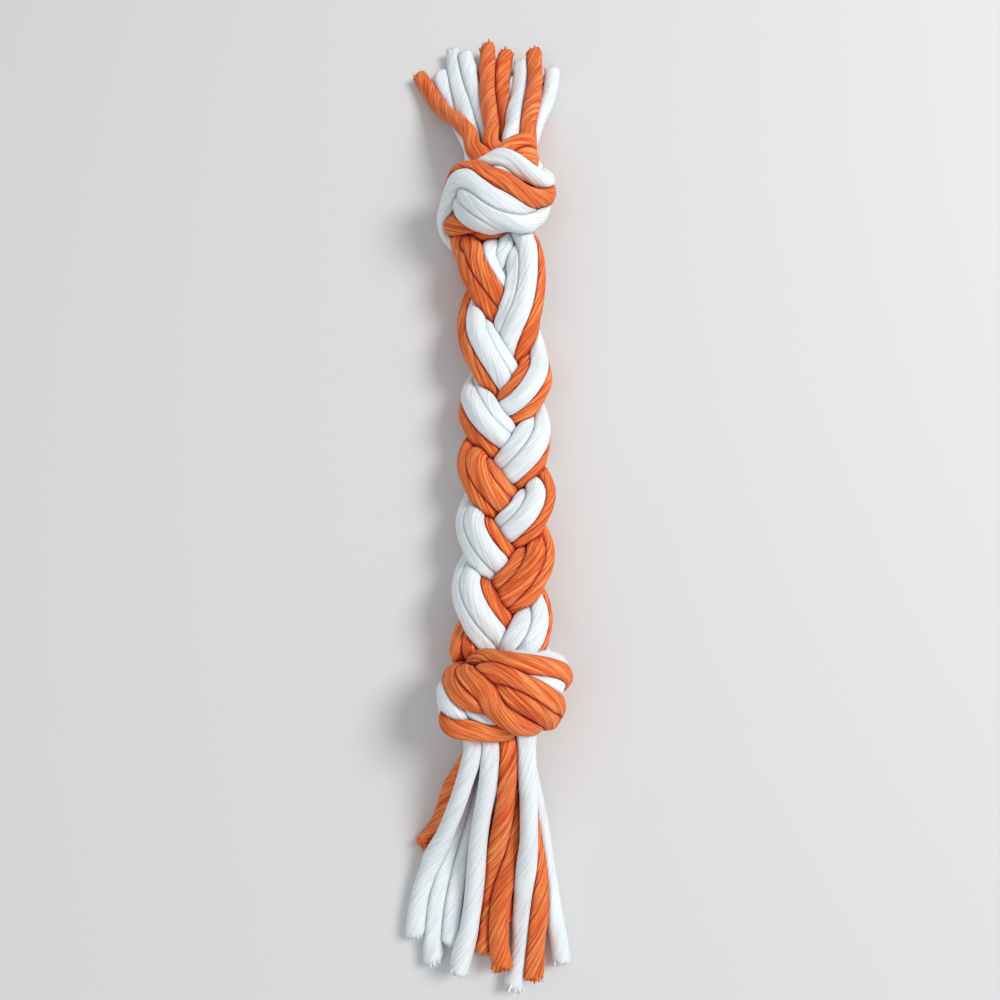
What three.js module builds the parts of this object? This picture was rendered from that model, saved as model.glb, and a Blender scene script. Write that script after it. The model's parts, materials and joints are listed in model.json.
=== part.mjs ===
// Rope dog toy: twelve cotton cords plaited in three strands, knotted at both ends.
// Millimetres. +Y runs to the back tassel, +Z is up, the toy lies on Z = 0.
import * as THREE from "three";

// Cord radius as modelled, and the half spacing that neighbouring cords keep
const RADIUS = { braid: 1.9, knot: 1.85, tail: 2.2 };
const SPACING = { braid: 2.15, knot: 2.05, tail: 2.4 };
const SIDES = { braid: 5, knot: 5, tail: 6 };
const RING_STEP = { braid: 4.4, knot: 4.2, tail: 5.2 };
const TIP_ROUNDING = 0.75;
const SWELL = { before: 6, past: 2 };

// Where a cord bears on the floor it is cut flat by this much
const FLAT_DEPTH = 0.6;

// Clear gap between two stretches of one cord
const JOINT_GAP = 0.5;

// Clear gap where cords press on each other, looks along each ring step, and rings apart on one cord
const PRESS = { gap: 0.15, looks: 4, apart: 4 };

// Plait of three strands
const BRAID = {
  length: 127, period: 58.3, sway: 8.1, rise: 3.2, across: 3.5, upright: 2.3,
  axisHeight: 12.4, sag: 3.2, shift: 2, step: 2,
};

// Bends of the plait: balls on the rope's axis that part the stretches
const BALL = { offset: 23, radius: 17 };

// Strands: colour of each cord in ring order, first places down the plait with their phase in half
// waves, end of the first crossing on top, and roll of the strand in degrees at each crossing on top
const STRANDS = [
  {
    colours: "OOOW", places: [[0, 1.5], [18.5, 2], [39.5, 2.5]],
    firstEnd: 24.9, rolls: [-90, -180, -360, -360],
  },
  {
    colours: "OWWW", places: [[0, 0.5], [34.9, 1]],
    firstEnd: 34.9, rolls: [180, 360, 540, 540],
  },
  {
    colours: "OWWO", places: [[0, 1], [44.4, 2]],
    firstEnd: 44.4, rolls: [0, -45, -90, -45],
  },
];
const TOP_BEFORE_END = 8;

// Overhand knots: loose shape scaled along its three axes, turned about the rope, drawn tight and
// then stretched along the rope
const KNOT = {
  points: 64, wide: 8, long: 3, deep: 6, lift: 12, reach: 2, bundle: 0.2, passage: 9, height: 30,
};
const NECK_POINTS = 3;
const ENDS = {
  back: {
    side: 1, length: 42, stretch: 1.25, column: 6.5,
    turn: -40, rolls: [0, 20, 20], hand: -1, outer: null,
  },
  front: {
    side: -1, length: 27, stretch: 1, column: 5,
    turn: 6, rolls: [150, 150, 150], hand: -1, outer: "O",
  },
};

// Mouth of each knot: columns of cords and their rows
const MOUTH = { columns: 4, rows: 3, row: 4.9, straight: 3 };

// Tails by column from left to right, each from the top down: colour, tip across, reach from the mouth
const TAILS = {
  back: [
    [["O", -29, 38], ["W", -17, 48], ["W", -22, 39]],
    [["O", -5.5, 48], ["W", -11, 46], ["O", -9, 38]],
    [["W", 8, 42], ["O", 0.5, 47], ["W", 4, 37]],
    [["O", 13, 45], ["W", 18.5, 39], ["O", 15, 35]],
  ],
  front: [
    [["W", -25, 54], ["O", -21, 30], ["W", -19.5, 61]],
    [["W", -8.5, 62], ["O", -6, 54], ["W", -12.5, 56]],
    [["O", -4, 58], ["O", -0.5, 61], ["O", -2, 50]],
    [["W", 3, 67], ["O", 9.5, 64], ["W", 14, 61]],
  ],
};

// Run of a tail: points, points held at the mouth, share at which it has landed, spread and waves
const TAIL = { points: 30, held: 2, landed: 0.75, spread: 5, wave: 1.8, waves: 1.4, shift: 2.4 };

// Two cords change mouth places only for a gain above this
const SWAP_GAIN = 0.01;

// Settling of the cords: start as a share of their thickness, steps to full thickness, steps in all,
// closing steps and their pull towards a smooth run, contact passes, and points apart on one cord
const SETTLE = {
  braid: { thin: 0.5, grown: 150, steps: 300, finish: 60, finishPull: 0.05, passes: 2, neighbours: 8 },
  knot: { thin: 0.12, grown: 560, steps: 800, finish: 150, finishPull: 0.03, passes: 3, neighbours: 6 },
  tail: { thin: 0.3, grown: 200, steps: 300, finish: 100, finishPull: 0.1, passes: 2, neighbours: 8 },
};
const PULL = 0.3;
const FIRMNESS = 0.25;
const CROSSING = { depth: 1.5, firmness: 0.1 };

const COLOURS = { O: 0xe2571a, W: 0xf0f1f2 };
const NAMES = { O: "orange", W: "white" };
const UP = new THREE.Vector3(0, 0, 1);

const degrees = THREE.MathUtils.degToRad;
const lerp = THREE.MathUtils.lerp;

// Hand-chosen values spread evenly between two places, joined smoothly
function between(values, share) {
  const place = THREE.MathUtils.clamp(share, 0, 1) * (values.length - 1);
  const index = Math.min(Math.floor(place), values.length - 2);
  const part = THREE.MathUtils.smoothstep(place - index, 0, 1);
  return lerp(values[index], values[index + 1], part);
}

// Draws cords taut, or holds them to their given shape, while keeping them apart
function settle(cords, plan) {
  const count = cords[0].length;
  const total = cords.length * count;
  const at = new Float64Array(3 * total);
  const rest = new Float64Array(3 * total);
  const loose = new Float64Array(total);
  cords.forEach((points, c) => {
    points.forEach((point, j) => {
      point.toArray(at, 3 * (c * count + j));
      loose[c * count + j] = plan.held(j, count) ? 0 : 1;
    });
  });
  if (plan.keepShape) rest.set(at);
  const offset = (index) => at[index] - rest[index];

  const smooth = (pull) => {
    for (let k = 0; k < total; k++) {
      if (!loose[k]) continue;
      const first = k % count === 0;
      const last = k % count === count - 1;
      for (let axis = 0; axis < 3; axis++) {
        const i = 3 * k + axis;
        const before = offset(first ? i + 3 : i - 3);
        const after = offset(last ? i - 3 : i + 3);
        at[i] += pull * ((before + after) / 2 - offset(i));
      }
    }
  };

  // Parts cords that cross between their points
  const uncross = (radius) => {
    const [one, two] = [new THREE.Line3(), new THREE.Line3()];
    const [from, to] = [new THREE.Vector3(), new THREE.Vector3()];
    const far = (i, k) => Math.abs(at[i] - at[k]) > 2 * radius;
    for (let a = 0; a < total; a++) {
      if (a % count === count - 1) continue;
      one.start.fromArray(at, 3 * a);
      one.end.fromArray(at, 3 * a + 3);
      for (let b = a + plan.neighbours; b < total; b++) {
        if (b % count === count - 1) continue;
        if (far(3 * a, 3 * b) || far(3 * a + 1, 3 * b + 1) || far(3 * a + 2, 3 * b + 2)) continue;
        two.start.fromArray(at, 3 * b);
        two.end.fromArray(at, 3 * b + 3);
        const gap = Math.sqrt(one.distanceSqToLine3(two, from, to));
        if (gap > CROSSING.depth * radius) continue;
        to.sub(from).setLength(CROSSING.firmness * (2 * radius - gap));
        for (let axis = 0; axis < 3; axis++) {
          const push = to.getComponent(axis);
          for (const k of [a, a + 1]) at[3 * k + axis] -= loose[k] * push;
          for (const k of [b, b + 1]) at[3 * k + axis] += loose[k] * push;
        }
      }
    }
  };

  const part = (radius) => {
    const reach = 2 * radius;
    for (let a = 0; a < total; a++) {
      const i = 3 * a;
      for (let b = a + 1; b < total; b++) {
        const k = 3 * b;
        const dx = at[k] - at[i];
        if (dx > reach || dx < -reach) continue;
        const dy = at[k + 1] - at[i + 1];
        if (dy > reach || dy < -reach) continue;
        const beside = plan.beside && plan.beside(Math.floor(a / count), Math.floor(b / count));
        const dz = beside ? 0 : at[k + 2] - at[i + 2];
        const square = dx * dx + dy * dy + dz * dz;
        if (square >= reach * reach) continue;
        const sameCord = Math.floor(a / count) === Math.floor(b / count);
        if (sameCord && b - a < plan.neighbours) continue;
        const distance = Math.sqrt(square) || 1;
        const push = (FIRMNESS * (reach - distance)) / distance;
        const shareA = loose[a] * push;
        const shareB = loose[b] * push;
        at[i] -= shareA * dx;
        at[i + 1] -= shareA * dy;
        at[i + 2] -= shareA * dz;
        at[k] += shareB * dx;
        at[k + 1] += shareB * dy;
        at[k + 2] += shareB * dz;
      }
    }
  };

  const bound = (radius) => {
    for (let k = 0; k < total; k++) {
      if (!loose[k]) continue;
      at[3 * k + 2] = THREE.MathUtils.clamp(at[3 * k + 2], radius - FLAT_DEPTH, plan.ceiling - radius);
      if (!plan.walls) continue;
      const [low, high] = plan.walls(k % count, count);
      at[3 * k + 1] = THREE.MathUtils.clamp(at[3 * k + 1], low, high);
    }
  };

  for (let step = 0; step < plan.steps; step++) {
    const radius = plan.radius * Math.min(1, lerp(plan.thin, 1, step / plan.grown));
    smooth(PULL);
    for (let pass = 0; pass < plan.passes; pass++) part(radius);
    bound(plan.floorRadius);
  }
  for (let step = 0; step < plan.finish; step++) {
    smooth(plan.finishPull);
    for (let pass = 0; pass < plan.passes; pass++) part(plan.radius);
    uncross(plan.radius);
    bound(plan.floorRadius);
  }
  return cords.map((points, c) => points.map((_, j) => (
    new THREE.Vector3().fromArray(at, 3 * (c * count + j))
  )));
}

// Axis of the rope at a height that sags between the knots
function axisPoint(y) {
  const share = Math.min(1, Math.abs(y) / (BRAID.length / 2));
  const slack = 1 - share * share;
  return new THREE.Vector3(BRAID.shift * slack, y, BRAID.axisHeight - BRAID.sag * slack);
}

// Middle of one strand at a distance down the plait: side to side and over and under
function strandPoint(strand, along) {
  const [end, last] = strand.places[strand.places.length - 1];
  const next = strand.places.findIndex(([place], j) => j > 0 && along < place);
  const [from, first] = next < 0 ? [end, last] : strand.places[next - 1];
  const [to, second] = next < 0 ? [end + BRAID.period, last + 2] : strand.places[next];
  const phase = Math.PI * lerp(first, second, (along - from) / (to - from));
  const point = axisPoint(BRAID.length / 2 - along);
  point.x += BRAID.sway * Math.sin(phase);
  point.z -= BRAID.rise * Math.sin(2 * phase);
  return point;
}

function strandCord(strand, slot, along) {
  const nudge = BRAID.step / 2;
  const point = strandPoint(strand, along);
  const ahead = strandPoint(strand, along + nudge).sub(strandPoint(strand, along - nudge)).normalize();
  const across = ahead.clone().cross(UP).normalize();
  const upright = across.clone().cross(ahead);
  const crossings = strand.rolls.length - 1;
  const share = (along - strand.firstEnd + TOP_BEFORE_END) / ((crossings * BRAID.period) / 2);
  const angle = degrees(between(strand.rolls, share)) + (slot * 2 * Math.PI) / strand.colours.length;
  point.addScaledVector(across, BRAID.across * Math.cos(angle));
  point.addScaledVector(upright, BRAID.upright * Math.sin(angle));
  return point;
}

// The twelve cords of the plait, from its back end to its front end
const cords = STRANDS.flatMap((strand) => (
  [...strand.colours].map((colour, slot) => ({ strand, slot, colour }))
));
const braidCount = Math.round(BRAID.length / BRAID.step);
const braid = settle(
  cords.map(({ strand, slot }) => {
    const alongs = Array.from({ length: braidCount + 1 }, (_, j) => (j * BRAID.length) / braidCount);
    return alongs.map((along) => strandCord(strand, slot, along));
  }),
  {
    ...SETTLE.braid, keepShape: true, held: () => false,
    radius: SPACING.braid, floorRadius: SPACING.braid, ceiling: Infinity,
  },
);

// Overhand knot as a loose open curve
function looseKnot(end, t) {
  const x = end.hand * KNOT.wide * (t ** 3 - 3 * t);
  const y = KNOT.long * (t ** 5 - 10 * t);
  const z = KNOT.deep * (t ** 4 - 4 * t ** 2) + KNOT.lift;
  const turned = new THREE.Vector3(x, y, z).applyAxisAngle(new THREE.Vector3(0, 1, 0), degrees(end.turn));
  turned.x *= end.side;
  turned.y *= end.side;
  return turned.add(new THREE.Vector3(0, end.side * (BRAID.length + end.length) / 2, BRAID.axisHeight));
}

// Places where cords leave the knot
function mouthPoint(end, column, row) {
  return new THREE.Vector3(
    (column - (MOUTH.columns - 1) / 2) * end.column,
    end.side * (BRAID.length / 2 + end.length),
    BRAID.axisHeight - (row - (MOUTH.rows - 1) / 2) * MOUTH.row,
  );
}

// Gives each cord the nearest mouth place of its colour
function chooseMouths(places, wanted) {
  const order = cords.map(() => -1);
  const taken = new Set();
  cords.forEach((cord, c) => {
    order[c] = places.findIndex((place, p) => place.colour === cord.colour && !taken.has(p));
    taken.add(order[c]);
  });
  const cost = (c, p) => wanted[c].distanceToSquared(places[p].point);
  let better = true;
  while (better) {
    better = false;
    for (let c = 0; c < cords.length; c++) {
      for (let d = 0; d < c; d++) {
        if (cords[c].colour !== cords[d].colour) continue;
        const gain = cost(c, order[c]) + cost(d, order[d]) - cost(c, order[d]) - cost(d, order[c]);
        if (!(gain > SWAP_GAIN)) continue;
        [order[c], order[d]] = [order[d], order[c]];
        better = true;
      }
    }
  }
  return order;
}

function tieKnot(end, tails) {
  const neck = braid.map((points) => (
    end.side > 0 ? points.slice(0, NECK_POINTS).reverse() : points.slice(-NECK_POINTS)
  ));
  const foot = neck.map((points) => points[NECK_POINTS - 1]);
  const middle = new THREE.Vector3(0, 0, 0);
  foot.forEach((point) => middle.addScaledVector(point, 1 / foot.length));
  const places = tails.flatMap((column, i) => column.map(([colour, across, reach], row) => (
    { colour, across, reach, column: i, row, point: mouthPoint(end, i, row) }
  )));
  const line = Array.from({ length: KNOT.points }, (_, j) => (
    looseKnot(end, lerp(-KNOT.reach, KNOT.reach, j / (KNOT.points - 1)))
  ));
  const ahead = line.map((_, j) => (
    line[Math.min(j + 1, line.length - 1)].clone().sub(line[Math.max(j - 1, 0)]).normalize()
  ));
  let across = new THREE.Vector3(1, 0, 0);
  const frames = ahead.map((direction) => {
    across = across.clone().addScaledVector(direction, -across.dot(direction)).normalize();
    return [across, across.clone().cross(direction)];
  });
  const rank = (c) => cords.filter((cord, d) => (
    cord.colour === cords[c].colour && foot[d].x < foot[c].x
  )).length;
  const layered = (c) => new THREE.Vector3(
    (rank(c) - (cords.length / 2 - 1) / 2) * 2 * SPACING.knot, 0,
    cords[c].colour === end.outer ? SPACING.knot : -SPACING.knot,
  );
  const bundlePoint = (c, j, scale) => {
    const from = end.outer ? layered(c) : foot[c].clone().sub(middle);
    const roll = degrees(between(end.rolls, j / (line.length - 1)));
    const u = from.x * Math.cos(roll) - from.z * Math.sin(roll);
    const v = from.x * Math.sin(roll) + from.z * Math.cos(roll);
    const point = line[j].clone().addScaledVector(frames[j][0], scale * u);
    return point.addScaledVector(frames[j][1], scale * v * end.side);
  };
  const exit = mouthPoint(end, 0, 0).y;
  const wanted = cords.map((_, c) => {
    const point = bundlePoint(c, line.length - 1, 1).sub(line[line.length - 1]);
    return new THREE.Vector3(point.x, exit, point.z + BRAID.axisHeight);
  });
  const order = chooseMouths(places, wanted);
  const starts = cords.map((_, c) => {
    const place = places[order[c]].point;
    const inner = place.clone();
    inner.y -= end.side * MOUTH.straight;
    return [...neck[c], ...line.map((_, j) => bundlePoint(c, j, KNOT.bundle)), inner, place];
  });
  const neckWall = end.side * (BRAID.length / 2);
  const scaled = (run, scale) => run.map((point) => (
    point.clone().setY(neckWall + scale * (point.y - neckWall))
  ));
  const depth = end.length / end.stretch;
  const span = (from, to) => [neckWall + end.side * from, neckWall + end.side * to].sort((a, b) => a - b);
  const walls = span(SPACING.knot, depth - SPACING.knot - JOINT_GAP);
  const open = span(0, depth);
  const drawn = settle(starts.map((run) => scaled(run, 1 / end.stretch)), {
    ...SETTLE.knot, keepShape: false, held: (j, count) => j < NECK_POINTS || j > count - NECK_POINTS,
    radius: SPACING.knot, floorRadius: RADIUS.knot, ceiling: KNOT.height,
    walls: (j, count) => (j < KNOT.passage || j > count - KNOT.passage ? open : walls),
  });
  const paths = drawn.map((run) => scaled(run, end.stretch));
  return { paths, places: order.map((p) => places[p]) };
}

const knots = { back: tieKnot(ENDS.back, TAILS.back), front: tieKnot(ENDS.front, TAILS.front) };

// Tails: out of the mouth, then down to the floor, no column lying over another
function layTails(end, knot) {
  const start = knot.places.map((place, c) => {
    const run = Math.hypot(place.reach, place.across - place.point.x);
    return Array.from({ length: TAIL.points }, (_, j) => {
      const t = j / (TAIL.points - 1);
      const fan = t * (1 - (1 - t) ** TAIL.spread);
      const wave = TAIL.wave * Math.sin(2 * Math.PI * TAIL.waves * t + c * TAIL.shift);
      const drop = THREE.MathUtils.smoothstep(t * run, MOUTH.straight, TAIL.landed * run);
      return new THREE.Vector3(
        lerp(place.point.x, place.across, fan) + wave * t,
        place.point.y + end.side * place.reach * t,
        lerp(place.point.z, RADIUS.tail, drop),
      );
    });
  });
  return settle(start, {
    ...SETTLE.tail, keepShape: true, held: (j) => j < TAIL.held,
    radius: SPACING.tail, floorRadius: RADIUS.tail, ceiling: Infinity,
    beside: (a, b) => knot.places[a].column !== knot.places[b].column,
  });
}

const tails = { back: layTails(ENDS.back, knots.back), front: layTails(ENDS.front, knots.front) };

// Points of a path at even steps
function evenly(points, step) {
  const lengths = [0];
  points.slice(1).forEach((point, j) => lengths.push(lengths[j] + point.distanceTo(points[j])));
  const whole = lengths[lengths.length - 1];
  const count = Math.max(2, Math.round(whole / step));
  let j = 0;
  return Array.from({ length: count + 1 }, (_, n) => {
    const place = (whole * n) / count;
    while (j < points.length - 2 && lengths[j + 1] < place) j++;
    const share = (place - lengths[j]) / (lengths[j + 1] - lengths[j] || 1);
    return points[j].clone().lerp(points[j + 1], Math.min(1, share));
  });
}

// Keeps the run of points for which a test holds, ending exactly where the test turns
function cutRun(points, inside) {
  const first = points.findIndex((point) => inside(point) > 0);
  const after = points.findIndex((point, j) => j > first && inside(point) <= 0);
  const last = after < 0 ? points.length : after;
  const run = points.slice(first, last);
  const edge = (a, b) => a.clone().lerp(b, inside(a) / (inside(a) - inside(b)));
  if (first > 0) run.unshift(edge(points[first], points[first - 1]));
  if (after >= 0) run.push(edge(points[after - 1], points[after]));
  return run;
}

// Slides a ring's corner along the cord on to a ball
function ontoBall(centre, radius) {
  return (corner, direction) => {
    const from = corner.clone().sub(centre);
    const along = from.dot(direction);
    const rest = from.lengthSq() - radius * radius;
    const root = Math.sqrt(Math.max(0, along * along - rest));
    const near = -along + root;
    const far = -along - root;
    corner.addScaledVector(direction, Math.abs(near) < Math.abs(far) ? near : far);
  };
}

function ontoPlane(y) {
  return (corner, direction) => corner.addScaledVector(direction, (y - corner.y) / direction.y);
}

// Closed tube along a path with a radius at each ring and shaped ends, a side of it facing the floor
function tube(points, radii, sides, shapeStart, shapeEnd) {
  const rings = points.length;
  const ahead = points.map((_, j) => (
    points[Math.min(j + 1, rings - 1)].clone().sub(points[Math.max(j - 1, 0)]).normalize()
  ));
  const positions = [];
  const add = (point) => {
    point.z = Math.max(0, point.z);
    positions.push(point.x, point.y, point.z);
  };
  let across = ahead[0].clone().cross(UP);
  if (across.lengthSq() < Number.EPSILON) across.set(1, 0, 0);
  const frames = ahead.map((direction) => {
    across = across.clone().addScaledVector(direction, -across.dot(direction)).normalize();
    return [across, across.clone().cross(direction)];
  });
  const lowest = points.reduce((best, point, j) => (point.z < points[best].z ? j : best), 0);
  const facing = Math.atan2(-frames[lowest][1].z, -frames[lowest][0].z);
  points.forEach((point, j) => {
    for (let s = 0; s < sides; s++) {
      const angle = facing + (2 * Math.PI * (s + 0.5)) / sides;
      const corner = point.clone().addScaledVector(frames[j][0], radii[j] * Math.cos(angle));
      corner.addScaledVector(frames[j][1], radii[j] * Math.sin(angle));
      if (j === 0 && shapeStart) shapeStart(corner, ahead[j]);
      if (j === rings - 1 && shapeEnd) shapeEnd(corner, ahead[j]);
      add(corner);
    }
  });
  const startPole = points[0].clone();
  if (shapeStart) shapeStart(startPole, ahead[0]);
  add(startPole);
  const endPole = points[rings - 1].clone();
  if (shapeEnd) shapeEnd(endPole, ahead[rings - 1]);
  add(endPole);
  const index = [];
  const start = rings * sides;
  for (let s = 0; s < sides; s++) {
    const next = (s + 1) % sides;
    for (let j = 0; j < rings - 1; j++) {
      const a = j * sides + s;
      const b = j * sides + next;
      index.push(a, b + sides, b, a, a + sides, b + sides);
    }
    const top = (rings - 1) * sides;
    index.push(start, s, next);
    index.push(start + 1, top + next, top + s);
  }
  const geometry = new THREE.BufferGeometry();
  geometry.setAttribute("position", new THREE.Float32BufferAttribute(positions, 3));
  geometry.setIndex(index);
  geometry.computeVertexNormals();
  return geometry;
}

const materials = Object.fromEntries(Object.entries(COLOURS).map(([colour, hex]) => (
  [colour, new THREE.MeshStandardMaterial({ color: hex, roughness: 0.9, metalness: 0 })]
)));

// Stretches of the twelve cords
const runs = [];
const bends = { back: axisPoint(BALL.offset), front: axisPoint(-BALL.offset) };
const inner = BALL.radius - JOINT_GAP / 2;
const outer = BALL.radius + JOINT_GAP / 2;
const counts = { O: 0, W: 0 };
cords.forEach(({ colour }, c) => {
  counts[colour] += 1;
  const name = `${NAMES[colour]}_${counts[colour]}`;

  const middle = cutRun(braid[c], (point) => {
    const back = point.y < bends.back.y ? 1 : inner - point.distanceTo(bends.back);
    const front = point.y > bends.front.y ? 1 : inner - point.distanceTo(bends.front);
    return Math.min(back, front);
  });
  const middlePath = evenly(middle, RING_STEP.braid);
  runs.push({
    name: `${name}_braid`, cord: c, path: middlePath, radii: middlePath.map(() => RADIUS.braid),
    sides: SIDES.braid, start: ontoBall(bends.back, inner), finish: ontoBall(bends.front, inner),
  });

  for (const [key, end] of Object.entries(ENDS)) {
    const bend = bends[key];
    const ordered = end.side > 0 ? [...braid[c]].reverse() : braid[c];
    const half = cutRun(ordered, (point) => (
      end.side * (point.y - bend.y) < 0 ? -1 : point.distanceTo(bend) - outer
    ));
    const path = evenly([...half, ...knots[key].paths[c].slice(NECK_POINTS)], RING_STEP.knot);
    const neckAt = end.side * BRAID.length / 2;
    const exit = neckAt + end.side * end.length;
    const radii = path.map((point) => {
      const past = end.side * (point.y - neckAt);
      return lerp(RADIUS.braid, RADIUS.knot, THREE.MathUtils.smoothstep(past, -SWELL.before, SWELL.past));
    });
    runs.push({
      name: `${name}_${key}_knot`, cord: c, path, radii,
      sides: SIDES.knot, start: ontoBall(bend, outer), finish: ontoPlane(exit),
    });

    const root = exit + end.side * JOINT_GAP;
    const tail = cutRun(tails[key][c], (point) => end.side * (point.y - root));
    const tailPath = evenly(tail, RING_STEP.tail);
    const tip = tailPath.length - 1;
    runs.push({
      name: `${name}_${key}_tail`, cord: c, path: tailPath,
      radii: tailPath.map((_, j) => RADIUS.tail * (j === tip ? TIP_ROUNDING : 1)),
      sides: SIDES.tail, start: ontoPlane(root), finish: null,
    });
  }
});

// Thins each cord to the room that the cords beside it leave
const looks = runs.flatMap((run) => run.path.slice(1).flatMap((point, j) => (
  Array.from({ length: PRESS.looks + 1 }, (_, n) => (
    { run, ring: j, point: run.path[j].clone().lerp(point, n / PRESS.looks) }
  ))
)));
const widest = 2 * Math.max(...Object.values(RADIUS)) + PRESS.gap;
looks.forEach((a, i) => {
  for (let k = i + 1; k < looks.length; k++) {
    const b = looks[k];
    if (Math.abs(a.point.x - b.point.x) > widest || Math.abs(a.point.y - b.point.y) > widest) continue;
    if (a.run.cord === b.run.cord && (a.run !== b.run || b.ring - a.ring < PRESS.apart)) continue;
    const room = (a.point.distanceTo(b.point) - PRESS.gap) / 2;
    for (const { run, ring } of [a, b]) {
      run.radii[ring] = Math.min(run.radii[ring], room);
      run.radii[ring + 1] = Math.min(run.radii[ring + 1], room);
    }
  }
});

const group = new THREE.Group();
group.name = "rope_dog_toy";
runs.forEach(({ name, cord, path, radii, sides, start, finish }) => {
  const mesh = new THREE.Mesh(tube(path, radii, sides, start, finish), materials[cords[cord].colour]);
  mesh.name = name;
  group.add(mesh);
});

// Sets the origin at the middle of the underside
const box = new THREE.Box3().setFromObject(group);
const middle = box.getCenter(new THREE.Vector3());
group.children.forEach((mesh) => mesh.geometry.translate(-middle.x, -middle.y, -box.min.z));

export default group;
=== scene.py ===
import bmesh
import bpy
import json
import math
import numpy as np
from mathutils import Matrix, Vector, kdtree

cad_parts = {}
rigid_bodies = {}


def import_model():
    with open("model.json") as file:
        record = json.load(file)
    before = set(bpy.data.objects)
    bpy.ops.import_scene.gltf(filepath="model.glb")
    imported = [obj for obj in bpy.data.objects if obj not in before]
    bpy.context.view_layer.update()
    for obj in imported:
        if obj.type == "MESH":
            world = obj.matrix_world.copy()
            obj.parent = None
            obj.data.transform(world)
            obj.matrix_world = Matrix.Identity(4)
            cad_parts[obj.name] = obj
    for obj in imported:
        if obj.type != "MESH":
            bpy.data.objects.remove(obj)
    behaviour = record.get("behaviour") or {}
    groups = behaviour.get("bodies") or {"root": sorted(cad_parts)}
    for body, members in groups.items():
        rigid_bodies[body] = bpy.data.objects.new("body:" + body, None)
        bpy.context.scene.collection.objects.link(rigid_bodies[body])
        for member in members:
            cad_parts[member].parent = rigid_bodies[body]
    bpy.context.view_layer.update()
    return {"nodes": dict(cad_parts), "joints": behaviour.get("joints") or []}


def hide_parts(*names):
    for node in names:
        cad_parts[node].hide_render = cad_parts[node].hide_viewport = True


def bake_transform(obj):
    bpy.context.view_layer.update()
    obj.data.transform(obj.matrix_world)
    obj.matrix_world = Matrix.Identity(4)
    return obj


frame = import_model()
nodes = frame["nodes"]
bends = {j["child"]: np.array(j["pos_m"]) for j in frame["joints"] if j["parent"] == "braid"}

# The toy's two ends, and which way each lies along Y
SIDE = {"back": 1, "front": -1}

# Cotton cord, in metres: the twist makes one turn in a pitch
RADIUS = {"rope": 0.0027, "tail": 0.0025}
PITCH = {"rope": 0.055, "tail": 0.03}
SWELL = {"share": 0.025, "every": 0.009}

# Where a cord turns from rope to tail, about the mouth of its knot
MOUTH = {"before": 0.003, "over": 0.01}

# Yarns of a cord: uneven in width and height
YARN = {"count": 15, "depth": 0.0001, "heights": (0.2, 1.5), "widths": (0.5, 1.5), "roundness": 0.5}
LUMP = {"share": 0.4, "every": 0.005}

# Softness, in shares of the radius: a cord swells on the side that leans to a neighbour
FILL = 0.28
LEAN = {"from": 0.1, "over": 0.6}
LEAST_ROOM = 0.3
# Width of the painted crease shade beside a neighbour, in the same shares of the radius
CREASE_SHADE_WIDTH = 0.3
PRESS_PASSES = 2

# Painted shade, from 0, darkest, to 1, none: its darkest in a yarn's groove and in a crease beside a
# neighbour, the room at which a pressed side is fully shaded, and its fixed level on fibres and cut ends
PAINTED_SHADE_LEVELS = {"yarn": 0.55, "crease": 0.35, "pressed": 0.5, "fibre": 0.9, "cut": 0.6}

# Cut tips, in metres: flared, with a drawn-in edge, a slanting cut and a low dome
TIP = {
    "flare": 0.1, "flare_from": 0.012, "edge": 0.08, "edge_from": 0.0012,
    "slant": 0.0008, "slant_from": 0.004, "dome": 0.0006,
}

# Frayed yarns and finer fibres of a cut tip, and how they lie
FRAY = (
    {"count": 60, "length": (0.0015, 0.0027), "width": (0.00035, 0.0006), "taper": 0.7},
    {"count": 70, "length": (0.0018, 0.0036), "width": (0.00005, 0.00011), "taper": 0.4},
)
FRAY_WAY = {
    "reach": 0.95, "root": 0.0018, "longest": 0.0044, "curl": 0.0002, "swirl": 1.6,
    "spread": (0.12, 0.12), "drift": (0.08, 0.1), "points": 5, "quick": 3,
}

# Loose fibres that lift off a cord, one every so far
STRAY = {
    "every": 0.004, "inset": 0.006, "length": (0.002, 0.005), "width": (0.00002, 0.00004), "taper": 0.4,
    "lift": (0.15, 0.5), "droop": 0.55, "sway": 0.3, "root": 0.0001, "points": 6,
}

# A fibre's section, turned from a direction that no fibre follows
FIBRE_SIDES = 3
OFF_AXIS = (0.31, 0.52, 0.79)

# Centre lines and rings, in metres
AROUND = 64
STEP = 0.001
SAMPLE = 0.00025
SPAN_STEPS = 16
RING_APART = 0.0012
ROUNDING = {"rope": 0.0016, "back": 0.009, "front": 0.004}
ROUNDING_REACH = 3
SLACK_FROM = 0.01
OWN_REACH = 0.009
HAIRLINE = 0.00002
LEAST_HEIGHT = 0.00005

# CAD points are matched to the micron, and a metre has this many
MICRONS = 1e6

# Guards against division by zero
SQUARE_ON = 1e-7
TINY = 1e-12

# Seeds of the random draws
SEED = {"cord": 40, "fibre": 900, "apart": 10}

# Coat coordinates in millimetres: round a cord and down it, each cord in its own stretch
COAT = {"mm": 1000, "radius": 2.5, "fibre_radius": 2.4, "apart": 613}

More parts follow.
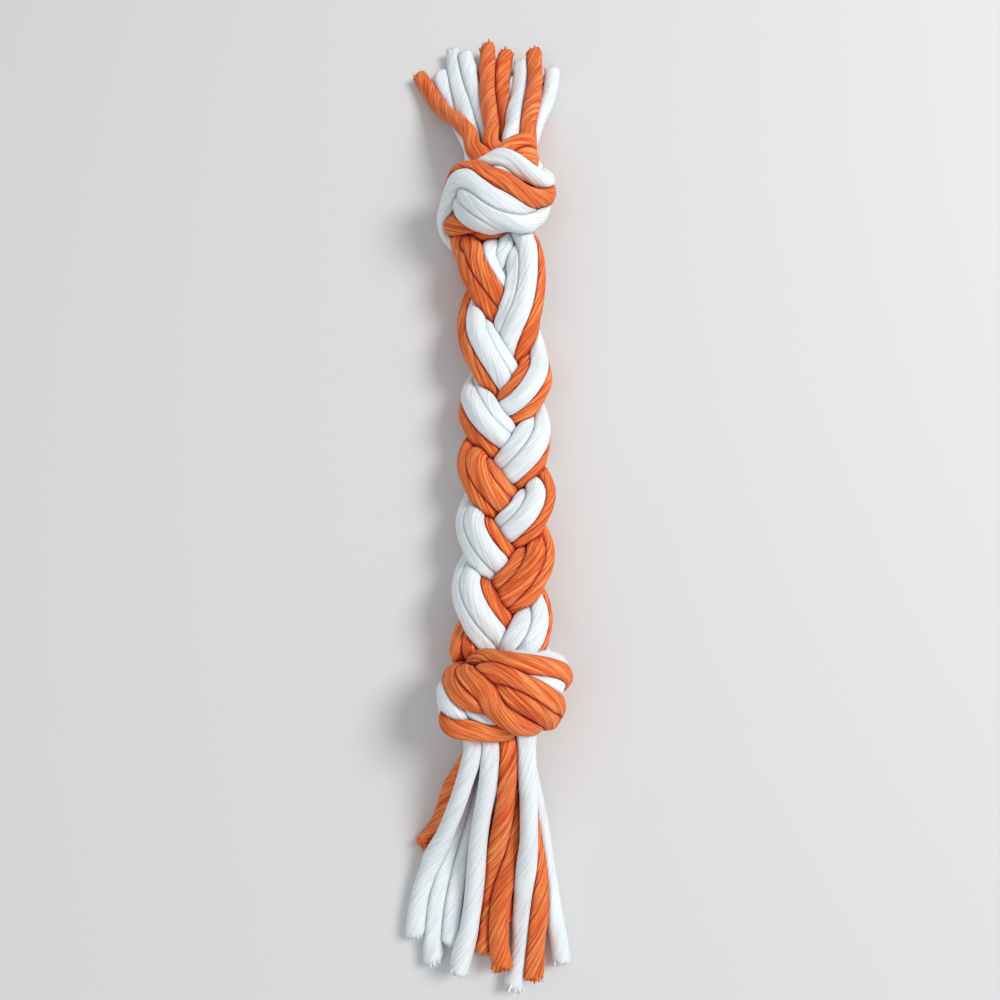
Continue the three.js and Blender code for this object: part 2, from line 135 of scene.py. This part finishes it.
# Grain of the cotton: noise scales round and down a cord, then what each adds to the looks
GRAIN = {
    "yarns": {"scale": (0.85, 0.85, 0.03), "detail": 1.0},
    "strands": {"scale": (2.0, 2.0, 0.05), "detail": 3.0},
    "hairs": {"scale": (4.5, 4.5, 0.2), "detail": 2.0},
    "clouds": {"scale": (0.25, 0.25, 0.07), "detail": 2.0},
}
NOISE_ROUGHNESS = 0.6
TONE = {"yarns": 0.8, "strands": 1.6, "hairs": 1.7, "clouds": 0.9}
SHADE = {"yarns": 0.9, "strands": 1.3, "hairs": 1.1}
# Painted shade of grooves, creases and pressed sides: how much it darkens the colour, and an offset
PAINTED_SHADE_GAIN = {"gain": 1.15, "offset": -0.2}
HEIGHT = {"yarns": 0.8, "strands": 0.7, "hairs": 0.5}
ROUGHNESS = {"middle": 0.85, "hairs": 0.2}
BUMP = {"Strength": 0.8, "Distance": 0.0004}
GLOSS = {"Specular IOR Level": 0.14, "Sheen Roughness": 0.6}
# The darkest colour of each cotton is painted shade in grooves, creases and pressed sides, and darker
# grain at random; base and pale are the cotton's own tone, varied at random
ORANGE = {
    "deep": (0.4, 0.018, 0.002), "base": (0.77, 0.085, 0.01), "pale": (0.985, 0.35, 0.11), "sheen": 0.06,
}
WHITE = {
    "deep": (0.66, 0.735, 0.765), "base": (0.84, 0.89, 0.9), "pale": (0.915, 0.95, 0.955), "sheen": 0.08,
}

# Numbers of the Mix node's sockets for colours
MIX_SOCKETS = {"share": 0, "one": 6, "two": 7, "result": 2}

# Studio floor, lamps, sky and camera, in metres, watts and degrees
FLOOR_REACH = 4.0
FLOOR_PAINT = {"Base Color": (0.72, 0.71, 0.7, 1), "Roughness": 0.9}
KEY = {"place": (0.75, 0.2, 0.88), "size": 0.5, "power": 9.0}
SOFT_FILL = {"place": (-0.6, -0.5, 0.9), "size": 0.9, "power": 1.6}
SKY = {"Color": (0.92, 0.95, 1.0, 1), "Strength": 0.51}
CAMERA = {"offset": (-0.00174, -0.0668), "height": 0.241, "tilt": 12, "angle": 67.3, "nearest": 0.01}


def ring_centres(node):
    """Centres of the rings of a CAD tube, from end to end."""
    mesh = nodes[node].data
    keys = {}
    index = [keys.setdefault(tuple(round(c * MICRONS) for c in v.co), len(keys)) for v in mesh.vertices]
    spots = np.array(list(keys)) / MICRONS
    near = [set() for _ in spots]
    for poly in mesh.polygons:
        corners = [index[v] for v in poly.vertices]
        for a in corners:
            near[a].update(corners)

    def layers(start):
        seen, layer, out = {start}, [start], []
        while layer:
            out.append(layer)
            ahead = {b for a in layer for b in near[a]} - seen
            seen |= ahead
            layer = list(ahead)
        return out

    for pole in layers(0)[-1]:
        found = layers(pole)
        if len(found[-1]) == 1 and len({len(ring) for ring in found[1:-1]}) == 1:
            return np.array([spots[ring].mean(0) for ring in found[1:-1]])
    raise ValueError(f"{node} isn't a plain tube")


def outward(node, side):
    """Ring centres of a node, running towards one end of the toy."""
    line = ring_centres(node)
    return line if side * (line[-1][1] - line[0][1]) > 0 else line[::-1]


def lengths_along(line):
    """Length of a line up to each of its points."""
    return np.r_[0, np.cumsum(np.linalg.norm(np.diff(line, axis=0), axis=1))]


def resample(line, step):
    """The same line, with its points an even step apart."""
    length = lengths_along(line)
    count = max(2, round(length[-1] / step))
    at = np.linspace(0, length[-1], count + 1)
    return np.stack([np.interp(at, length, line[:, k]) for k in range(3)], 1)


def nearest(line, point):
    """Row of the line's point that lies closest to another point."""
    return int(np.argmin(np.linalg.norm(line - point, axis=1)))


def smooth_step(x):
    x = np.clip(x, 0, 1)
    return x * x * (3 - 2 * x)


def rounded(line, width):
    """A line smoothed over a width, with its ends in place."""
    reach = round(ROUNDING_REACH * width / SAMPLE)
    weight = np.exp(-0.5 * (np.arange(-reach, reach + 1) * SAMPLE / width) ** 2)
    weight /= weight.sum()
    ahead = 2 * line[-1] - line[-2 : -reach - 2 : -1]
    behind = 2 * line[0] - line[reach:0:-1]
    padded = np.vstack([behind, line, ahead])
    return np.stack([np.convolve(padded[:, k], weight, "valid") for k in range(3)], 1)


def curve(points, gates):
    """A smooth centre line through the ring centres, slacker past the knots' mouths."""
    keep = [points[0]]
    for p in points[1:]:
        if np.linalg.norm(p - keep[-1]) > RING_APART:
            keep.append(p)
    p = np.array([2 * keep[0] - keep[1], *keep, 2 * keep[-1] - keep[-2]])
    t = np.linspace(0, 1, SPAN_STEPS, endpoint=False)[:, None]
    spans = []
    for a, b, c, d in zip(p, p[1:], p[2:], p[3:]):
        square = 2 * a - 5 * b + 4 * c - d
        cube = 3 * b - a - 3 * c + d
        spans.append(b + 0.5 * ((c - a) * t + square * t**2 + cube * t**3))
    line = resample(np.vstack([*spans, p[-2][None]]), SAMPLE)
    rows = np.arange(len(line))
    past = {"back": nearest(line, gates["back"]) - rows, "front": rows - nearest(line, gates["front"])}
    smooth = rounded(line, ROUNDING["rope"])
    for key, count in past.items():
        slack = smooth_step(count * SAMPLE / SLACK_FROM)[:, None]
        smooth = (1 - slack) * smooth + slack * rounded(line, ROUNDING[key])
    return resample(smooth, STEP)


class Cord:
    """One of the twelve cords, from its back tip to its front tip."""

    def __init__(self, name, number):
        self.name = name
        self.number = number
        self.colour = name.split("_")[0]
        knots = {key: outward(f"{name}_{key}_knot", side) for key, side in SIDE.items()}
        tails = {key: outward(f"{name}_{key}_tail", side) for key, side in SIDE.items()}
        braid = outward(f"{name}_braid", SIDE["front"])
        gates = {key: 0.5 * (knots[key][-1] + tails[key][0]) for key in SIDE}
        back = [tails["back"][::-1], knots["back"][::-1]]
        self.line = curve(np.vstack([*back, braid, knots["front"], tails["front"]]), gates)
        self.count = len(self.line)
        self.along = lengths_along(self.line)
        self.mouth = {key: nearest(self.line, gate) for key, gate in gates.items()}
        self.tip = {"back": 0, "front": self.count - 1}
        self.middle = self.find_middle()
        tangent = np.gradient(self.line, axis=0)
        self.tangent = tangent / np.linalg.norm(tangent, axis=1)[:, None]
        self.frames = self.carry_frames()

    def find_middle(self):
        """The row where the cord passes half-way between the two bends."""
        halfway = 0.5 * (bends["back_end"][1] + bends["front_end"][1])
        inside = np.arange(self.mouth["back"], self.mouth["front"])
        return int(inside[np.argmin(np.abs(self.line[inside, 1] - halfway))])

    def carry_frames(self):
        """Two directions square to the cord at each row, carried along without a twist."""
        across = np.cross(self.tangent[0], (0, 0, 1.0))
        frames = []
        for t in self.tangent:
            across = across - t * across.dot(t)
            across /= np.linalg.norm(across)
            frames.append((across, np.cross(t, across)))
        return np.array(frames)

    def half_rows(self, key):
        """Rows from the middle of the plait to a knot's mouth."""
        if key == "back":
            return slice(self.mouth["back"], self.middle + 1)
        return slice(self.middle, self.mouth["front"] + 1)

    def tail_rows(self, key):
        """Rows of the free end past a knot's mouth."""
        if key == "back":
            return slice(0, self.mouth["back"] + 1)
        return slice(self.mouth["front"], self.count)


names = sorted(n[: -len("_braid")] for n in nodes if n.endswith("_braid"))
cords = [Cord(name, k) for k, name in enumerate(names)]

# Every point of every centre line, so that cords press on each other
centre_tree = kdtree.KDTree(sum(c.count for c in cords))
owner = []
for c in cords:
    for j, p in enumerate(c.line):
        centre_tree.insert(p, len(owner))
        owner.append((c.number, j))
centre_tree.balance()
owner = np.array(owner)
centres = np.vstack([c.line for c in cords])


def wander(rng, along, every, share):
    """A smooth random factor about 1 along a cord."""
    knots = np.arange(0, along[-1] + 2 * every, every)
    return 1 + share * np.interp(along, knots, rng.uniform(-1, 1, len(knots)))


def neighbours(c, j, reach):
    """Points of other cords, or of far stretches of this one, near row j."""
    ids = np.array([i for _, i, _ in centre_tree.find_range(c.line[j], reach)])
    who = owner[ids]
    return ids[(who[:, 0] != c.number) | (np.abs(who[:, 1] - j) * STEP > OWN_REACH)]


def spare_room(c, direction, radius):
    """Share of its radius at each ring point: less where a cord presses, more beside one; and a painted
    crease shade, from 0 where it meets a neighbour to 1.
    """
    room = np.ones((c.count, AROUND))
    crease_shade = np.ones((c.count, AROUND))
    for j in range(c.count):
        reach = 2 * (1 + FILL) * radius[j]
        ids = neighbours(c, j, reach)
        if len(ids) == 0:
            continue
        to = centres[ids] - c.line[j]
        gap = np.linalg.norm(to, axis=1)
        facing = direction[j] @ to.T
        halfway = 0.5 * gap**2 / np.maximum(facing, SQUARE_ON)
        limit = (np.where(facing > SQUARE_ON, halfway, 1.0).min(1) - HAIRLINE) / radius[j]
        near = np.clip((reach - gap) / (2 * FILL * radius[j]), 0, 1)
        lean = smooth_step((facing / gap - LEAN["from"]) / LEAN["over"])
        room[j] = np.clip(limit, LEAST_ROOM, 1 + FILL * (near * lean).max(1))
        # Painted crease shade: 0 where this side meets a neighbour, rising to 1 a crease width away
        crease_shade[j] = np.clip((limit - room[j]) / CREASE_SHADE_WIDTH, 0, 1)
    for _ in range(PRESS_PASSES):
        before = np.vstack([room[:1], room[:-1]])
        after = np.vstack([room[1:], room[-1:]])
        room = 0.25 * before + 0.5 * room + 0.25 * after
    return room, crease_shade


def tip_share(c, reach):
    """1 at a cord's tips, falling to 0 at a distance from them."""
    end = np.minimum(c.along, c.along[-1] - c.along)
    return 1 - smooth_step(end / reach)


def yarn_ridges(rng, angle):
    """Height of the yarns round a cord, from 0 in a groove to 1, and each yarn's size."""
    edges = np.r_[0, np.cumsum(rng.uniform(*YARN["widths"], YARN["count"]))]
    edges *= 2 * np.pi / edges[-1]
    yarn = np.searchsorted(edges, angle, side="right") - 1
    sizes = rng.uniform(*YARN["heights"], YARN["count"])[yarn]
    across = (angle - edges[yarn]) / (edges[yarn + 1] - edges[yarn])
    return np.sin(np.pi * across) ** YARN["roundness"], sizes


def between(low, share):
    """A share of the way from a low value up to 1."""
    return low + (1 - low) * share


class Surface:
    """Ring points of a cord, pressed flat where others lie against it, with painted shade in its grooves
    and creases.
    """

    def __init__(self, c):
        rng = np.random.default_rng(SEED["cord"] + c.number)
        angle = np.arange(AROUND) * 2 * np.pi / AROUND
        rows = np.arange(c.count)
        past = np.maximum(c.mouth["back"] - rows, rows - c.mouth["front"]) * STEP
        free = smooth_step((past + MOUTH["before"]) / MOUTH["over"])
        pitch = PITCH["rope"] + (PITCH["tail"] - PITCH["rope"]) * free
        turn = np.cumsum(2 * np.pi * STEP / pitch) + rng.uniform(0, 2 * np.pi)
        radius = RADIUS["rope"] + (RADIUS["tail"] - RADIUS["rope"]) * free
        radius = radius * wander(rng, c.along, SWELL["every"], SWELL["share"])
        radius = radius * (1 + TIP["flare"] * tip_share(c, TIP["flare_from"]))
        radius = radius * (1 - TIP["edge"] * tip_share(c, TIP["edge_from"]))
        theta = angle[None] + turn[:, None]
        across, other = c.frames[:, None, 0], c.frames[:, None, 1]
        self.direction = np.cos(theta)[..., None] * across + np.sin(theta)[..., None] * other
        room, crease_shade = spare_room(c, self.direction, radius)
        ridge, sizes = yarn_ridges(rng, angle)
        lump = wander(rng, c.along, LUMP["every"], LUMP["share"])
        depth = YARN["depth"] * sizes[None] * lump[:, None] * (1 - ridge)[None]
        reach = radius[:, None] * room - depth
        points = c.line[:, None] + self.direction * reach[..., None]
        slant = TIP["slant"] * tip_share(c, TIP["slant_from"])[:, None] * np.cos(theta)
        self.points = points + slant[..., None] * c.tangent[:, None]
        self.points[..., 2] = np.maximum(self.points[..., 2], LEAST_HEIGHT)
        self.coat = self.coat_of(c, angle)
        # Painted shade: darker in the grooves between yarns, in creases beside other cords and where a
        # cord is pressed
        pressed = np.clip((room - PAINTED_SHADE_LEVELS["pressed"]) / (1 - PAINTED_SHADE_LEVELS["pressed"]), 0, 1)
        self.valley = between(PAINTED_SHADE_LEVELS["yarn"], ridge[None]) * between(PAINTED_SHADE_LEVELS["crease"], crease_shade) * pressed

    def coat_of(self, c, angle):
        """Coordinates that the grain follows, so that it runs along the twist."""
        shape = (c.count, AROUND)
        down = np.broadcast_to((c.along * COAT["mm"] + COAT["apart"] * c.number)[:, None], shape)
        round_x = np.broadcast_to(COAT["radius"] * np.cos(angle), shape)
        round_y = np.broadcast_to(COAT["radius"] * np.sin(angle), shape)
        return np.stack([round_x, round_y, down], -1)


class Piece:
    """A mesh of tubes and fibres, with the coordinates of its coat and its painted shade."""

    def __init__(self):
        self.points, self.coat, self.valley, self.faces = [], [], [], []
        self.total = 0

    def add(self, points, coat, valley):
        first = self.total
        self.points.append(points.reshape(-1, 3))
        self.coat.append(coat.reshape(-1, 3))
        self.valley.append(valley.reshape(-1))
        self.total += len(self.valley[-1])
        return first

    def tube(self, points, coat, valley):
        first = self.add(points, coat, valley)
        rings, around = points.shape[:2]
        k = first + np.arange(rings * around).reshape(rings, around)
        n = np.roll(k, -1, 1)
        self.faces.append(np.stack([k[:-1], n[:-1], n[1:], k[1:]], -1).reshape(-1, 4))
        return first

    def cap(self, first, centre, coat, flip):
        """Closes the last ring of a tail with a low dome."""
        ring = first + np.arange(AROUND)
        follow = np.roll(ring, -1)
        middle = self.add(np.array([centre]), np.array([coat]), np.array([PAINTED_SHADE_LEVELS["cut"]]))
        one, two = (follow, ring) if flip else (ring, follow)
        self.faces.append(np.stack([one, two, np.full(AROUND, middle)], -1))

    def fibre(self, line, width, taper, coat):
        """A thin loose fibre that tapers to its tip."""
        t = np.gradient(line, axis=0)
        side = np.cross(t, OFF_AXIS)
        side /= np.linalg.norm(side, axis=1)[:, None] + TINY
        other = np.cross(t, side)
        other /= np.linalg.norm(other, axis=1)[:, None] + TINY
        thick = width * np.linspace(1, taper, len(line))[:, None, None]
        turn = np.arange(FIBRE_SIDES) * 2 * np.pi / FIBRE_SIDES
        ring = np.cos(turn)[None, :, None] * side[:, None] + np.sin(turn)[None, :, None] * other[:, None]
        points = line[:, None] + thick * ring
        points[..., 2] = np.maximum(points[..., 2], LEAST_HEIGHT)
        shade = np.full(points.shape[:2], PAINTED_SHADE_LEVELS["fibre"])
        first = self.tube(points, np.broadcast_to(coat, points.shape), shade)
        last = first + FIBRE_SIDES * (len(line) - 1)
        self.faces.append(last + np.arange(FIBRE_SIDES)[None])

    def make(self, name, material):
        mesh = bpy.data.meshes.new(name)
        faces = [f for block in self.faces for f in block.tolist()]
        mesh.from_pydata(np.vstack(self.points).tolist(), [], faces)
        coat = mesh.attributes.new("coat", "FLOAT_VECTOR", "POINT")
        coat.data.foreach_set("vector", np.vstack(self.coat).ravel())
        valley = mesh.attributes.new("valley", "FLOAT", "POINT")
        valley.data.foreach_set("value", np.concatenate(self.valley))
        mesh.shade_smooth()
        mesh.materials.append(material)
        obj = bpy.data.objects.new(name, mesh)
        bpy.context.scene.collection.objects.link(obj)
        return obj


def fray(piece, c, key, rng):
    """Cut end: yarns and finer fibres that spread a little past the tip."""
    j = c.tip[key]
    forward = -SIDE[key] * c.tangent[j]
    across, other = c.frames[j]
    t = np.linspace(0, 1, FRAY_WAY["points"])[:, None]
    for kind in FRAY:
        for _ in range(kind["count"] // (1)):
            spread = FRAY_WAY["reach"] * math.sqrt(rng.uniform(0, 1))
            a = rng.uniform(0, 2 * np.pi)
            b = a + FRAY_WAY["swirl"]
            foot = math.cos(a) * across + math.sin(a) * other
            swirl = math.cos(b) * across + math.sin(b) * other
            start = c.line[j] + foot * spread * RADIUS["tail"] - forward * FRAY_WAY["root"]
            lean = forward + foot * rng.normal(*FRAY_WAY["spread"]) * spread
            lean = lean + swirl * rng.normal(*FRAY_WAY["drift"])
            length = min(FRAY_WAY["longest"], rng.uniform(*kind["length"]))
            line = start + lean * length * t + rng.normal(0, FRAY_WAY["curl"], 3) * t * t
            round_x = COAT["fibre_radius"] * math.cos(a)
            round_y = COAT["fibre_radius"] * math.sin(a)
            coat = (round_x, round_y, COAT["apart"] * c.number)
            piece.fibre(line, rng.uniform(*kind["width"]), kind["taper"], coat)


def stray(piece, c, skin, rows, rng):
    """A few loose fibres lifting off the cord."""
    inset = round(STRAY["inset"] / STEP)
    rows = np.arange(c.count)[rows][inset:-inset]
    count = int(len(rows) * STEP / STRAY["every"])
    t = np.linspace(0, 1, STRAY["points"])[:, None]
    coat = (0, 0, COAT["apart"] * c.number)
    for _ in range(count):
        j = int(rng.choice(rows))
        s = int(rng.integers(AROUND))
        normal = skin.direction[j, s]
        along = c.tangent[j] * rng.choice((-1, 1))
        length = rng.uniform(*STRAY["length"])
        lift = rng.uniform(*STRAY["lift"])
        sway = np.cross(along, normal) * rng.normal(0, STRAY["sway"])
        rise = normal * lift * (t - STRAY["droop"] * t * t)
        line = skin.points[j, s] - normal * STRAY["root"] + length * ((along + sway) * t + rise)
        piece.fibre(line, rng.uniform(*STRAY["width"]), STRAY["taper"], coat)


class Value:
    """A shader socket that takes part in arithmetic."""

    tree = None

    def __init__(self, socket):
        self.socket = socket

    @classmethod
    def node(cls, kind, settings, sockets, out=0):
        """A node of a kind: its settings, then the values or links of its sockets."""
        made = cls.tree.nodes.new(kind)
        for key, value in settings.items():
            setattr(made, key, value)
        for key, value in sockets.items():
            cls.put(made.inputs[key], value)
        return cls(made.outputs[out])

    @classmethod
    def put(cls, socket, value):
        if isinstance(value, Value):
            cls.tree.links.new(value.socket, socket)
        else:
            socket.default_value = value

    @classmethod
    def math(cls, operation, a, b, clamp=False):
        return cls.node("ShaderNodeMath", {"operation": operation, "use_clamp": clamp}, {0: a, 1: b})

    def __add__(self, other):
        return self.math("ADD", self, other)

    def __radd__(self, other):
        return self.math("ADD", other, self)

    def __sub__(self, other):
        return self.math("SUBTRACT", self, other)

    def __rsub__(self, other):
        return self.math("SUBTRACT", other, self)

    def __mul__(self, other):
        return self.math("MULTIPLY", self, other)

    def __rmul__(self, other):
        return self.math("MULTIPLY", other, self)

    def clamp(self):
        return self.math("ADD", self, 0.0, clamp=True)


def mix(share, one, two):
    """A colour a share of the way from one to two."""
    at = MIX_SOCKETS
    sockets = {at["share"]: share, at["one"]: one, at["two"]: two}
    return Value.node("ShaderNodeMix", {"data_type": "RGBA"}, sockets, at["result"])


def attribute(name, out):
    return Value.node("ShaderNodeAttribute", {"attribute_name": name}, {}, out)


def noise(vector, scale, detail):
    """Grain from 0 to 1, stretched by its scales."""
    place = Value.node("ShaderNodeMapping", {}, {"Vector": vector, "Scale": scale})
    sockets = {"Vector": place, "Scale": 1.0, "Detail": detail, "Roughness": NOISE_ROUGHNESS}
    return Value.node("ShaderNodeTexNoise", {}, sockets)


def weighed(grain, weights):
    """Grains about zero, each by its weight, added up."""
    return sum((grain[name] - 0.5) * weight for name, weight in weights.items())


def cotton(name, look):
    """Soft twisted cotton: fibres along the yarns, with painted shade between them and beside other cords.
    """
    material = bpy.data.materials.new(name)
    material.use_nodes = True
    Value.tree = material.node_tree
    inputs = material.node_tree.nodes["Principled BSDF"].inputs
    coat = attribute("coat", "Vector")
    valley = attribute("valley", "Fac")
    grain = {kind: noise(coat, **how) for kind, how in GRAIN.items()}
    tone = (weighed(grain, TONE) + 0.5).clamp()
    # Painted shade of grooves and creases, with darker grain, draws the colour towards the darkest one
    shade = valley * PAINTED_SHADE_GAIN["gain"] + PAINTED_SHADE_GAIN["offset"] + weighed(grain, SHADE)
    deep, base, pale = ((*look[key], 1) for key in ("deep", "base", "pale"))
    Value.put(inputs["Base Color"], mix(shade.clamp(), deep, mix(tone, base, pale)))
    Value.put(inputs["Roughness"], (grain["hairs"] - 0.5) * ROUGHNESS["hairs"] + ROUGHNESS["middle"])
    bump = Value.node("ShaderNodeBump", {}, {**BUMP, "Height": weighed(grain, HEIGHT)})
    Value.put(inputs["Normal"], bump)
    for socket, value in {**GLOSS, "Sheen Weight": look["sheen"]}.items():
        inputs[socket].default_value = value
    return material


looks = {"orange": cotton("orange_cotton", ORANGE), "white": cotton("white_cotton", WHITE)}


def make_half(c, skin, key, rng):
    """The knotted and plaited half of a cord."""
    rows = c.half_rows(key)
    piece = Piece()
    piece.tube(skin.points[rows], skin.coat[rows], skin.valley[rows])
    stray(piece, c, skin, rows, rng)
    half = piece.make(f"{c.name}_{key}_half", looks[c.colour])
    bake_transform(half)
    braid = [f"{c.name}_braid"] if key == "back" else []
    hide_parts(*braid, f"{c.name}_{key}_knot")


def make_tail(c, skin, key, rng):
    """The free end of a cord, which hangs on its knot."""
    rows = c.tail_rows(key)
    tip = c.tip[key]
    piece = Piece()
    first = piece.tube(skin.points[rows], skin.coat[rows], skin.valley[rows])
    last_ring = first + (tip - rows.start) * AROUND
    dome = c.line[tip] - SIDE[key] * c.tangent[tip] * TIP["dome"]
    piece.cap(last_ring, dome, skin.coat[tip].mean(0), flip=key == "back")
    fray(piece, c, key, rng)
    stray(piece, c, skin, rows, rng)
    tail = piece.make(f"{c.name}_{key}_tail_yarn", looks[c.colour])
    node = f"{c.name}_{key}_tail"
    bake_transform(tail)
    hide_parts(node)


for c in cords:
    skin = Surface(c)
    for key, side in SIDE.items():
        rng = np.random.default_rng(SEED["fibre"] + SEED["apart"] * c.number + side)
        make_half(c, skin, key, rng)
        make_tail(c, skin, key, rng)


def make_floor():
    grid = bmesh.new()
    bmesh.ops.create_grid(grid, x_segments=1, y_segments=1, size=FLOOR_REACH)
    mesh = bpy.data.meshes.new("floor")
    grid.to_mesh(mesh)
    grid.free()
    paint = bpy.data.materials.new("floor")
    paint.use_nodes = True
    for socket, value in FLOOR_PAINT.items():
        paint.node_tree.nodes["Principled BSDF"].inputs[socket].default_value = value
    mesh.materials.append(paint)
    floor = bpy.data.objects.new("floor", mesh)
    bpy.context.scene.collection.objects.link(floor)


def area_light(name, place, size, power):
    """A round soft lamp that points at the toy."""
    light = bpy.data.lights.new(name, "AREA")
    light.shape = "DISK"
    light.size = size
    light.energy = power
    lamp = bpy.data.objects.new(name, light)
    lamp.location = place
    lamp.rotation_euler = (-Vector(place)).to_track_quat("-Z", "Y").to_euler()
    bpy.context.scene.collection.objects.link(lamp)


def make_sky():
    world = bpy.data.worlds.new("studio")
    world.use_nodes = True
    for socket, value in SKY.items():
        world.node_tree.nodes["Background"].inputs[socket].default_value = value
    bpy.context.scene.world = world


def make_camera():
    """The photograph's view, placed from the middle of the plait."""
    middle = 0.5 * (bends["back_end"] + bends["front_end"])
    camera = bpy.data.cameras.new("camera")
    camera.sensor_fit = "VERTICAL"
    camera.angle = math.radians(CAMERA["angle"])
    camera.clip_start = CAMERA["nearest"]
    eye = bpy.data.objects.new("camera", camera)
    eye.location = (*(middle[:2] + CAMERA["offset"]), CAMERA["height"])
    eye.rotation_euler = (math.radians(CAMERA["tilt"]), 0, 0)
    bpy.context.scene.collection.objects.link(eye)
    bpy.context.scene.camera = eye


make_floor()
area_light("key", **KEY)
area_light("fill", **SOFT_FILL)
make_sky()
make_camera()
bpy.context.scene.view_settings.view_transform = "Standard"
